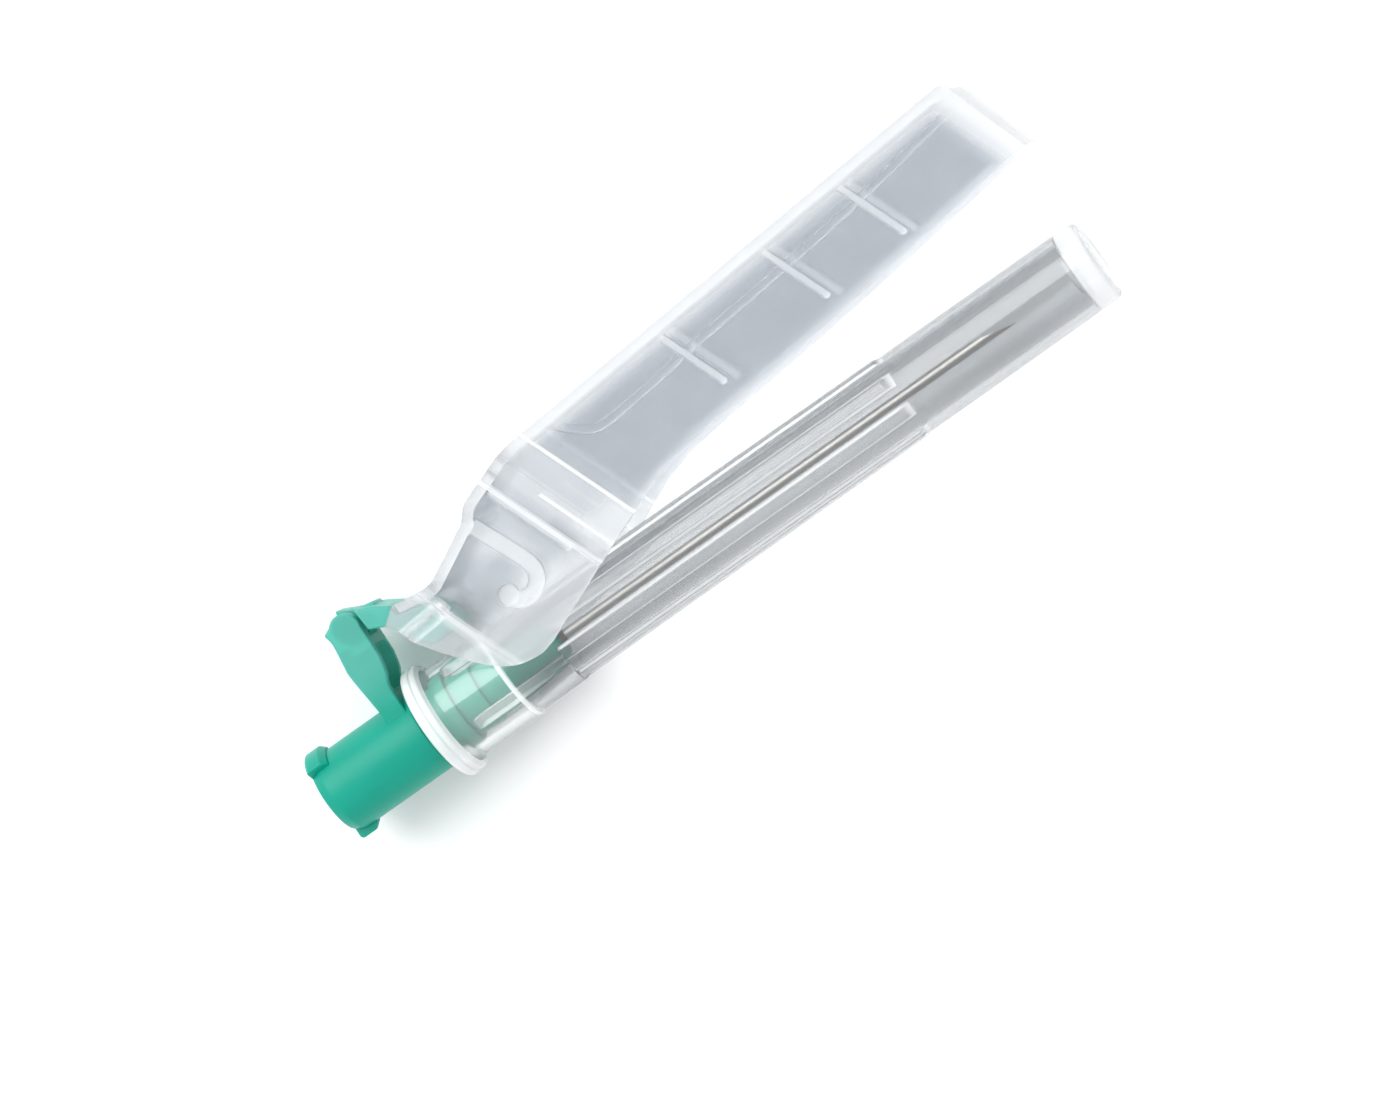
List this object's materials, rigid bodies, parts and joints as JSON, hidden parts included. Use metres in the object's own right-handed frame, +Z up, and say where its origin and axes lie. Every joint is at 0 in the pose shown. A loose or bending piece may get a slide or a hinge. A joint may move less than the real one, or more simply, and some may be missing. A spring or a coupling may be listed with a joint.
{
  "type": "safety hypodermic needle",
  "caption": "Hypodermic needle with a Luer hub, a push-on needle cap and a hinged clear shield that swings over the needle after use.",
  "frame": {"origin": "below the middle of the part's box, on the surface that the part lies on", "axes": "+X along the needle away from the hub's open end, +Y from the needle towards the shield, +Z up, along the shield's hinge"},
  "size_m": [0.0728, 0.022, 0.0115],
  "materials": {
    "green_polypropylene": "translucent, semi-gloss",
    "frosted_polypropylene": "translucent, fine frost",
    "clear_polypropylene": "clear, slightly milky",
    "stainless_steel": "bright drawn",
    "cured_adhesive": "clear, glossy"
  },
  "bodies": {
    "hub": {"hub": "green_polypropylene", "cannula": "stainless_steel", "adhesive": "cured_adhesive"},
    "cap": {"cap": "clear_polypropylene"},
    "shield": {"shield": "frosted_polypropylene", "hinge_link": "green_polypropylene"}
  },
  "joints": [
    {"name": "cap_slide", "type": "slide", "parent": "hub", "child": "cap", "axis": [1, 0, 0], "range_m": [0, 0.065]},
    {"name": "shield_hinge", "type": "hinge", "parent": "hub", "child": "shield", "pos_m": [-0.02752, 0.00366, 0.00575], "axis": [0, 0, 1], "range_deg": [-5.5, 130]}
  ]
}
